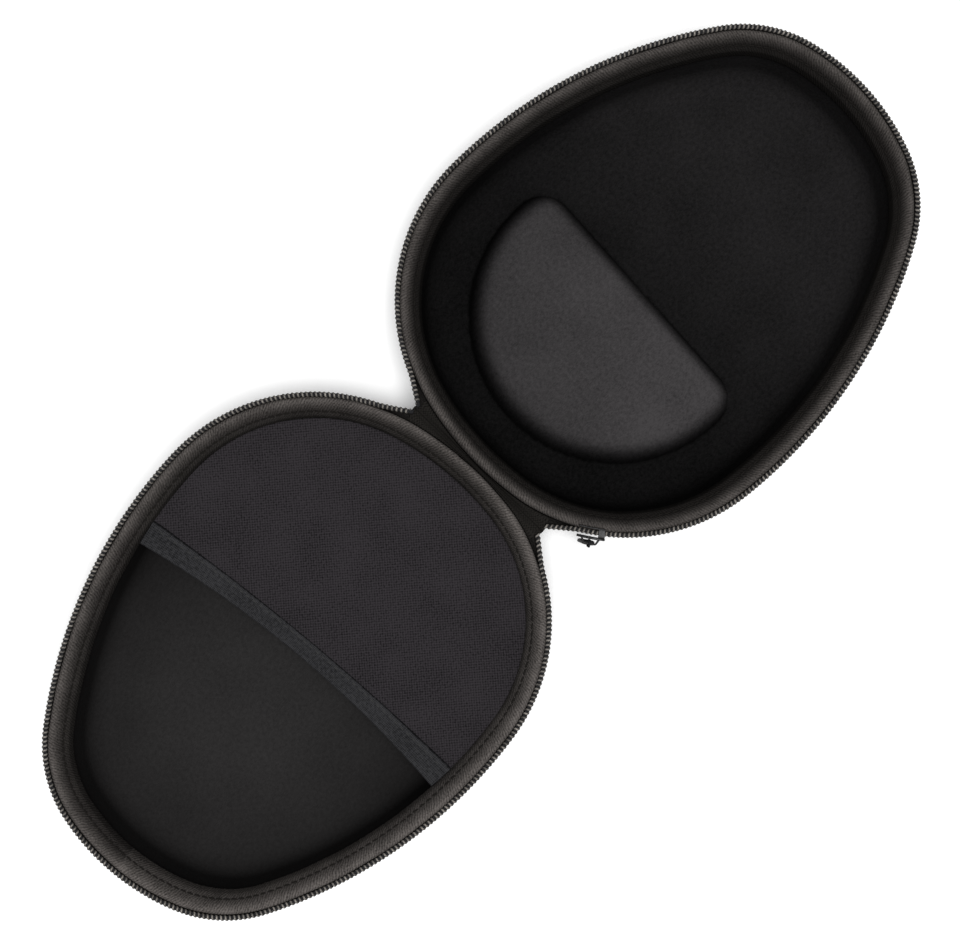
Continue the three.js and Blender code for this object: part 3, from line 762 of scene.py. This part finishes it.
def zip_tape(half, span):
    """The woven tape under the coil, with its row of stitches and the cord inside the coil."""
    def wobble(s, d, drop):
        return 0.05 * noise(s / 5, drop / 3, 51, 2.5)

    profile = sheet_profile(TAPE_LINE, 0.45, 14)
    tape = rim_sweep(f"{half}_zip_tape_band", half, profile, 700, LOOKS["tape"], span, wobble,
                     stray=zip_stray)
    own(tape, half, "zip_tape", f"{half}_zip_tape")
    stitch_row(f"{half}_tape_stitches", half, span[0] + 1, span[1] - 1, TAPE_ROW_D, TAPE_ROW_DROP,
               math.pi / 2)

    ring = [(COIL_CENTRE[0] + 0.72 * math.cos(a), COIL_CENTRE[1] + 0.05 + 0.32 * math.sin(a))
            for a in np.linspace(0, 2 * math.pi, 10, endpoint=False)]
    core = rim_sweep(f"{half}_zip_core_cord", half, np.array(ring), 600, LOOKS["cord"], span,
                     stray=zip_stray)
    own(core, half, "zip_tape")


def zip_coil(half, span):
    """The row of teeth: one filament wound along the tape's edge, with a head on each turn."""
    start, end = span
    turns = int((end - start) / TOOTH_PITCH)
    steps = 13
    phase = np.arange(turns * steps + 1) / steps
    angle = 2 * math.pi * phase
    s = start + TOOTH_PITCH * phase + 0.12 * np.sin(2 * angle)
    reach = 0.68 * np.cos(angle)[:, None] * COIL_REACH
    side = 0.5 * np.sin(angle)[:, None] * COIL_SIDE
    spot = np.array(COIL_CENTRE) + reach + side
    path = rim(s, spot[:, 0] - zip_stray(s, spot[:, 1]), spot[:, 1], half)
    head = 0.5 + 0.5 * np.cos(angle)
    rings = tube_points(path, 0.34 + 0.05 * head ** 3, 8)
    # Painted highlight on the top of each turn, where the wire crosses over; painted shade on the rest
    # of the turn.
    crossing = np.clip(np.sin(angle), 0, 1)
    light = np.repeat((0.22 + 0.78 * crossing ** 1.5)[:, None], 8, axis=1)
    coil = tube_object(f"{half}_zip_teeth", rings, LOOKS["coil"], (2000, 2), light)
    own(coil, half, "zip_coil", f"{half}_zip_coil")


STRIP_LINE = [(2.75, 10.6), (2.35, 8.2), (1.75, 6.4), (1.5, 5.0), (1.4, 4.0)]
FOLD, FOLD_DROP = 0.3, 2.5      # half width of the strip's fold at rest, and how deep it lies


def strip_middle(s, wall_cols, slope_cols, fold_cols):
    """Points of the hinge strip's middle surface, and each column's share of the lid's turn."""
    line, _ = smooth_curve(STRIP_LINE, wall_cols)
    wall = rim(s[:, None], line[None, :, 0], line[None, :, 1], "base")
    edge_x, edge_y = wall[:, -1:, 0], wall[:, -1:, 1]
    edge_drop = STRIP_LINE[-1][1]
    outward_share = np.linspace(1, 0, slope_cols + 1)[1:-1]
    turn = np.linspace(0, 1, fold_cols)
    fold_x = 2 * FOLD * np.sin(np.arcsin(1 - 2 * turn) / 3) * np.ones_like(edge_x)
    slope_x = FOLD + (edge_x - FOLD) * outward_share
    x = np.concatenate([slope_x, fold_x, -slope_x[:, ::-1]], axis=1)
    slope_drop = edge_drop - (edge_drop - FOLD_DROP) * (1 - outward_share) ** 3
    drop = np.concatenate([slope_drop, np.full(fold_cols, FOLD_DROP), slope_drop[::-1]])
    to_end = np.minimum(s - s[0], s[-1] - s)[:, None]
    bulge = 1.5 * np.sign(s[:, None] - (s[0] + s[-1]) / 2) * np.clip(1 - to_end / 6, 0, 1) ** 2
    y = edge_y - bulge * np.cos(math.pi / 2 * x / edge_x)
    bridge = np.stack([x, y, np.broadcast_to(PARTING - drop, x.shape)], axis=-1)
    still = wall_cols + slope_cols - 1
    share = np.concatenate([np.zeros(still), turn, np.ones(still)])
    return np.concatenate([wall, bridge, wall[:, ::-1] * (-1, 1, 1)], axis=1), share


def hinge_strip():
    """One strip of cloth from the base's wall over the hinge to the lid's wall. At rest its fold
    is narrow. With the lid shut the fold opens to a roll round the zip's ends; the script builds only
    the rest shape and measures its weave map along that roll."""
    half_thick, overlap = 0.2, 0.5
    s = np.linspace(-overlap - ZIP_FAR, ZIP_NEAR + overlap, 130)
    middle, share = strip_middle(s, 15, 6, 15)
    normal = unit(np.cross(np.gradient(middle, axis=1), np.gradient(middle, axis=0)))
    in_fold = np.abs(middle[..., :1]) <= FOLD + 1e-6
    normal = np.where(in_fold, (0.0, 0.0, 1.0) * np.sign(normal[..., 2:]), normal)
    faces = []
    for side in (half_thick, -half_thick):
        face = middle + normal * side
        clear = np.sign(middle[..., 0]) * np.maximum(np.abs(face[..., 0]), FOLD)
        face[..., 0] = np.where(in_fold[..., 0], face[..., 0], clear)
        faces.append(face)
    points = np.concatenate([faces[0], faces[1][:, ::-1]], axis=1)

    angle = math.pi * share
    x, z = middle[..., 0], middle[..., 2] - PARTING
    closed = np.stack([x * np.cos(angle) + z * np.sin(angle), middle[..., 1],
                       z * np.cos(angle) - x * np.sin(angle)], axis=-1)
    step = np.linalg.norm(np.diff(closed, axis=1), axis=2).mean(axis=0)
    run = np.concatenate([[0], np.cumsum(step)])
    runs = np.concatenate([run, 2 * run[-1] - run[::-1], [2 * run[-1]]])
    strip = tube_object("hinge_strip_cloth", points, LOOKS["hinge"], (s[-1] - s[0], runs))
    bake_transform(strip)
    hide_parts("base_hinge_strip", "lid_hinge_strip")


# ------------------------------------------------------------------ lid pocket

EDGE_RADIUS = (POCKET_HALF ** 2 + POCKET_BOW ** 2) / (2 * POCKET_BOW)
PANEL_D, PANEL_DROP, PANEL_THICK = 9.35, 9.55, 0.5
HEM_WIDTH, HEM_EXTRA, HEM_THICK = 7.0, 2.6, 1.7
HEM_ROW, HEM_STITCH_PITCH = 1.5, 3.0


def edge_u(v):
    return POCKET_EDGE_U + EDGE_RADIUS - np.sqrt(EDGE_RADIUS ** 2 - v ** 2)


def pocket_corner(d):
    """Length along the rim, and v, where the free edge meets the sewn edge on the near side."""
    s = np.linspace(ZIP_NEAR, OUTLINE.half_length, 6000)
    u, v, nu, nv = OUTLINE.at(s)
    inside_u, inside_v = u + nu * d, v + nv * d
    hit = int(np.argmax(inside_u > edge_u(np.minimum(inside_v, POCKET_HALF * 1.4))))
    return s[hit], inside_v[hit]


def relax(obj, pinned, limit):
    """Lets the cloth sag between its pinned points, and keeps each point within limit mm."""
    before = np.array([v.co[:] for v in obj.data.vertices])
    group = obj.vertex_groups.new(name="pinned")
    group.add([int(i) for i in pinned], 1.0, "REPLACE")
    cloth = obj.modifiers.new("sag", "CLOTH")
    elastic_mesh = {"quality": 6, "mass": 0.08, "tension_stiffness": 20, "compression_stiffness": 12,
                    "shear_stiffness": 10, "bending_stiffness": 0.4, "vertex_group_mass": "pinned"}
    for key, value in elastic_mesh.items():
        setattr(cloth.settings, key, value)
    cloth.collision_settings.use_collision = False
    for number in range(1, 19):
        bpy.context.scene.frame_set(number)
    apply_modifier(obj, cloth)
    bpy.context.scene.frame_set(1)
    obj.vertex_groups.clear()
    moved = np.array([v.co[:] for v in obj.data.vertices]) - before
    far = np.linalg.norm(moved, axis=1) / (limit * MM)
    moved /= np.maximum(far, 1)[:, None]
    obj.data.vertices.foreach_set("co", (before + moved).ravel())


def pocket_panel():
    corner_s, corner_v = pocket_corner(PANEL_D)
    cols, rows = 150, 84
    s = np.linspace(-corner_s, corner_s, cols)
    u, v, nu, nv = OUTLINE.at(s)
    sewn = np.stack([u + nu * PANEL_D, v + nv * PANEL_D], -1)
    free_v = np.linspace(-corner_v, corner_v, cols)
    free = np.stack([edge_u(free_v) - hem_width(free_v / POCKET_HALF) + 0.9, free_v], -1)
    share = np.linspace(0, 1, rows)[:, None, None]
    flat = sewn[None] * (1 - share) + free[None] * share
    at_u, at_v = flat[..., 0], flat[..., 1]
    inside = np.minimum(1, np.sin(math.pi * np.clip(share[..., 0], 0, 1)) * 2)
    soft = inside * (0.22 * noise(at_u, at_v, 61, 30) + 0.1 * noise(at_u, at_v, 62, 12))
    z = PARTING - PANEL_DROP + soft
    points = place(at_u, at_v, z, "lid")
    index, _, _ = grid_faces(rows, cols, False, False)
    uv = flat.reshape(-1, 2)[index].reshape(-1, 2)
    panel = make_object("pocket_panel_mesh", points, index.tolist(), LOOKS["pocket"], uv)
    number = np.arange(rows * cols).reshape(rows, cols)
    pinned = np.unique(np.concatenate([number[0], number[-1], number[:, 0], number[:, -1]]))
    relax(panel, pinned, 2.2)
    solid = panel.modifiers.new("thick", "SOLIDIFY")
    solid.thickness = PANEL_THICK * MM
    solid.offset = 0
    apply_modifier(panel, solid)
    face_out(panel)
    own(panel, "lid", "pocket_mesh", "pocket_panel")


def hem_width(share):
    return HEM_WIDTH + HEM_EXTRA * np.asarray(share) ** 2


def hem_frame(share):
    """For places -1..1 along the free edge: edge point, direction to the hinge, and lean."""
    _, corner_v = pocket_corner(PANEL_D)
    v = share * (corner_v - 0.3)
    angle = np.arcsin(v / EDGE_RADIUS)
    lean = 0.22 * (1 - share ** 2)
    return edge_u(v), v, -np.cos(angle), np.sin(angle), lean


def hem_points(share, reach, up):
    """Points of the hem, which leans down from its seam with the panel to the free edge. Reach is
    measured from the seam to the edge, for a hem of the usual width."""
    u, v, nu, nv, lean = hem_frame(share)
    seam = hem_width(share)
    reach = reach * seam / HEM_WIDTH
    inset = seam - reach * np.cos(lean) + up * np.sin(lean)
    high = PARTING - PANEL_DROP - reach * np.sin(lean) + up * np.cos(lean)
    return place(u + nu * inset, v + nv * inset, high, "lid")


def hem_sweep(name, profile, count, material, relief=None, shade=None):
    """Sweeps a (reach, up) profile along the free edge."""
    share = np.linspace(-1, 1, count)[:, None]
    reach, up = profile[None, :, 0], profile[None, :, 1]
    if relief:
        up = up + relief(share, reach) * np.sign(up)
    light = np.ones((count, len(profile))) * (shade(reach) if shade else 1.0)
    points = hem_points(share, reach, up)
    return tube_object(name, points, material, (2 * POCKET_HALF, girth(profile)), light)


def pocket_hem():
    half = HEM_THICK / 2
    outline = [(-0.1, 0.25), (0.1, 0.62), (0.7, half * 0.95), (2.8, half), (5.0, half),
               (6.5, half * 0.75), (HEM_WIDTH, 0.0)]
    outline += [(reach, -up) for reach, up in outline[-2::-1]]
    profile, _ = smooth_curve(outline, 44, closed=True)

    def relief(share, reach):
        along = share * POCKET_HALF
        groove = -0.14 * bell(reach, HEM_ROW, 0.4)
        gather = 0.07 * np.sin(2 * math.pi * along / 5.3) * bell(reach, 4.2, 2.0)
        return groove + gather + 0.1 * noise(along / 6, reach / 3, 71, 2.6)

    # Painted highlights along the hem's rolled edges, and painted shade in its seam with the panel.
    def shade(reach):
        painted_highlights = 0.3 * bell(reach, 1.0, 0.4) + 0.25 * bell(reach, 6.3, 0.5)
        return np.clip(0.8 + painted_highlights - 0.7 * bell(reach, 0, 0.35), 0.1, 1.2)

    hem = hem_sweep("pocket_hem_band", profile, 460, LOOKS["hem"], relief, shade)
    own(hem, "lid", "pocket_hem", "pocket_hem")
    band = [(2.4, 0.3), (5.8, 0.3), (6.0, 0.0), (5.8, -0.3), (2.4, -0.3), (2.2, 0.0)]
    elastic = hem_sweep("pocket_elastic_band", np.array(band), 120, LOOKS["elastic"])
    own(elastic, "lid", "elastic", "pocket_elastic")

    hem_stitches(half - 0.1)


def hem_stitches(up):
    """The row of stitches that closes the hem, this high above its middle."""
    count = int(2 * POCKET_HALF / HEM_STITCH_PITCH)
    share = (np.arange(count) + 0.5) / count * 1.9 - 0.95
    u, v, nu, nv, lean = hem_frame(share)
    at = hem_points(share, HEM_ROW, up)
    step = 0.004
    ahead = hem_frame(share + step)
    along = unit(place(ahead[0], ahead[1], 0, "lid") - place(u, v, 0, "lid"))
    to_edge = place(u - nu, v - nv, 0, "lid") - place(u, v, 0, "lid")
    up_axis = np.broadcast_to((0.0, 0.0, 1.0), along.shape)
    axes = tilted(along, to_edge, up_axis, -lean[:, None])
    stitches = face_out(stamp("pocket_hem_stitches", capsule(1.7, 0.2), at, axes, LOOKS["hem_thread"]))
    own(stitches, "lid", "pocket_hem")


# ------------------------------------------------------------------ zip slider and pull

PARK_ANGLE = 13.4 * DEG         # how far round its arc the slider stands from the zip's end
SLIDER_S = ZIP_NEAR + SIDE_ARCS[SLIDER_ARC][0] * PARK_ANGLE
CROWN_D, CROWN_RADIUS = -3.1, 0.38
CORD_RADIUS = 0.45
GRIP_TOP, GRIP_LOW = -7.35, -24.35              # heights of the grip's ends, from the crown bar


def slider_plate(name, d_low, d_high, half_at, start, end, bevel):
    """A plate that follows the zip, thick from d_low to d_high, with softened edges."""
    along = np.linspace(start, end, 15)
    corners = []
    for a in along:
        h = half_at(a)
        for d, drop in ((d_low, -h), (d_high, -h), (d_high, h), (d_low, h)):
            corners.append(rim(SLIDER_S + a, d, drop, "base"))
    points = np.array(corners).reshape(len(along), 4, 3)
    obj = tube_object(name, points, LOOKS["metal"], (10, 10))
    soften = obj.modifiers.new("soften", "BEVEL")
    soften.width = bevel * MM
    soften.segments = 3
    soften.angle_limit = 40 * DEG
    apply_modifier(obj, soften)
    return obj


def join(name, pieces):
    """One object from several, so that the slider is one casting."""
    bm = bmesh.new()
    for piece in pieces:
        bm.from_mesh(piece.data)
        bpy.data.objects.remove(piece)
    mesh = bpy.data.meshes.new(name)
    bm.to_mesh(mesh)
    bm.free()
    mesh.materials.append(LOOKS["metal"])
    return add_object(name, mesh)


def zip_slider():
    """Two plates joined by a post, wide at the mouth, and a crown arched over the outer plate."""
    tail, head, reach = 1.7, 3.3, 5.0

    def outer_half(a):
        share = min(1, (a + reach) / (2 * reach) / 0.6)
        end = math.sqrt(max(0.0, 1 - max(0.0, (abs(a) - 3.6) / 1.75) ** 2))
        return (tail + (head - tail) * share) * (0.45 + 0.55 * end)

    def inner_half(a):
        return 1.45 * (0.7 + 0.3 * math.cos(a / reach * 1.3))

    outer = slider_plate("plate_outer", -1.4, -0.5, outer_half, -reach, reach, 0.28)
    inner = slider_plate("plate_inner", 2.35, 2.85, inner_half, -reach, reach, 0.2)
    post = slider_plate("post", -0.9, 2.6, lambda a: 0.3, reach - 2.4, reach, 0.08)
    arch = []
    for t in np.linspace(0, 1, 25):
        a = -3.15 + 6.3 * t
        rise = min(1.0, math.sin(math.pi * t) * 1.9)
        arch.append(rim(SLIDER_S + a, -1.1 + (CROWN_D + 1.1) * rise, 0.0, "base"))
    rings = tube_points(arch, CROWN_RADIUS, 12)
    crown = tube_object("crown", rings, LOOKS["metal"], (8, 3))
    slider = join("zip_slider_casting", [outer, inner, post, crown])
    slider.data.polygons.foreach_set("use_smooth", [True] * len(slider.data.polygons))
    own(slider, "zip_slider", "slider_metal", "zip_slider")


def zip_pull():
    """A braided cord over the crown bar, moulded into a ridged grip."""
    pivot, along, inward, _ = [a[0] for a in rim_frame(np.array([SLIDER_S]), CROWN_D, 0.0, "base")]
    pull_cord(pivot, along, inward)
    pull_grip(pivot, along, inward)


def pull_cord(pivot, along, inward):
    turn = CROWN_RADIUS * math.sqrt(2) + CORD_RADIUS + 0.05
    leg = [(-turn * 0.75, -8.4), (-turn, -6.0), (-turn, -3.0), (-turn, -0.2)]
    bend = [(-turn * math.cos(a), turn * math.sin(a)) for a in np.linspace(0.3, math.pi - 0.3, 7)]
    curve, length = smooth_curve(leg + bend + [(-x, z) for x, z in leg[::-1]], 120)
    path = pivot + curve[:, :1] * (-inward) + curve[:, 1:] * np.array((0, 0, 1.0))
    sides = 14
    angle = 2 * math.pi * np.arange(sides) / sides
    radius = 0.43
    rings = tube_points(path, radius, sides, along)
    twist = np.linspace(0, length / 1.1 * 2 * math.pi, len(path))[:, None]
    braid = 0.045 * np.sin(angle[None] * 2 + twist) * np.sin(angle[None] * 2 - twist)
    rings = path[:, None] + (rings - path[:, None]) * (1 + braid / radius)[..., None]
    cord = tube_object("pull_cord_braid", rings, LOOKS["cord"], (length, 2.8))
    own(cord, "zip_pull", "pull_cord", "pull_cord")


def pull_grip(pivot, along, inward):
    rows, around = 110, 40
    grip = np.zeros((rows, around, 3))
    theta = 2 * math.pi * np.arange(around) / around
    for i, t in enumerate(np.linspace(0, 1, rows)):
        z = GRIP_TOP + (GRIP_LOW - GRIP_TOP) * t
        end = math.sqrt(max(0.0, 1 - max(0.0, (t - 0.86) / 0.14) ** 2))
        start = math.sqrt(max(0.0, 1 - max(0.0, (0.05 - t) / 0.05) ** 2))
        width = (2.15 + 1.05 * min(1, t / 0.8)) * max(0.02, (0.12 + 0.88 * end) * (0.55 + 0.45 * start))
        on_ridges = max(0, min(1, (t - 0.34) / 0.48))
        ridge = 0.16 * (0.5 - 0.5 * math.cos(2 * math.pi * on_ridges * 6))
        thick = (0.8 - ridge) * max(0.02, (0.1 + 0.9 * end) * (0.6 + 0.4 * start))
        wide = np.sign(np.cos(theta)) * np.abs(np.cos(theta)) ** 0.5 * width
        deep = np.sign(np.sin(theta)) * np.abs(np.sin(theta)) ** 0.5 * thick
        grip[i] = pivot + wide[:, None] * along + deep[:, None] * inward + np.array((0, 0, z))
    obj = tube_object("pull_grip_moulding", grip, LOOKS["grip"], (17, 15))
    own(obj, "zip_pull", "pull_grip", "pull_grip")


# ------------------------------------------------------------------ assembly


def hidden_foam():
    """The foam shells and the hump's core keep their CAD shapes, between lining and cover."""
    for node in ("base_foam_shell", "lid_foam_shell", "hump_core"):
        obj = bpy.data.objects.get(node)
        for slot in obj.material_slots:
            slot.material = LOOKS["foam"]


def studio():
    """A pale floor, soft light from all round and above, and a camera looking straight down."""
    mesh = bpy.data.meshes.new("floor")
    size = 9.0
    corners = [(-size, -size, 0), (size, -size, 0), (size, size, 0), (-size, size, 0)]
    mesh.from_pydata(corners, [], [(0, 1, 2, 3)])
    floor = add_object("floor", mesh)
    paper = Look("floor_paper", 0.95, 0.0)
    grain = paper.node("ShaderNodeTexNoise", {"Scale": 300.0, "Detail": 2.0}).outputs[0]
    paper.finish(paper.mix(grain, (0.9, 0.9, 0.9, 1), (0.92, 0.92, 0.92, 1)), grain, 0.01)
    paper.feed(paper.shader.inputs["Emission Color"], (1, 1, 1, 1))
    paper.feed(paper.shader.inputs["Emission Strength"], 0.12)
    mesh.materials.append(paper.material)

    world = bpy.data.worlds.new("studio")
    bpy.context.scene.world = world
    world.use_nodes = True
    backdrop = world.node_tree.nodes["Background"]
    backdrop.inputs[0].default_value = (1, 1, 1, 1)
    backdrop.inputs[1].default_value = 0.42

    light = bpy.data.lights.new("softbox", "AREA")
    light.shape = "RECTANGLE"
    light.size, light.size_y = 0.6, 0.6
    light.energy = 25
    softbox = add_object("softbox", light)
    softbox.location = (-0.04, -0.14, 1.6)
    softbox.rotation_euler = (Vector((0, 0, 0)) - softbox.location).to_track_quat("-Z", "Y").to_euler()

    camera = bpy.data.cameras.new("camera")
    camera.sensor_width = 36
    height, across = 650.0, 343.0
    camera.lens = camera.sensor_width * height / across
    view = add_object("camera", camera)
    view.location = (-1.13 * MM, -4.73 * MM, (PARTING + height) * MM)
    view.rotation_euler = (0, 0, -46.0 * DEG)
    bpy.context.scene.camera = view
    bpy.context.scene.view_settings.view_transform = "Standard"


studio()
hidden_foam()
for half in ("base", "lid"):
    moulded_layers(half)
    binding(half)
    zip_tape(half, ZIP_SPAN)
    zip_coil(half, ZIP_SPAN)
hinge_strip()
pocket_panel()
pocket_hem()
zip_slider()
zip_pull()
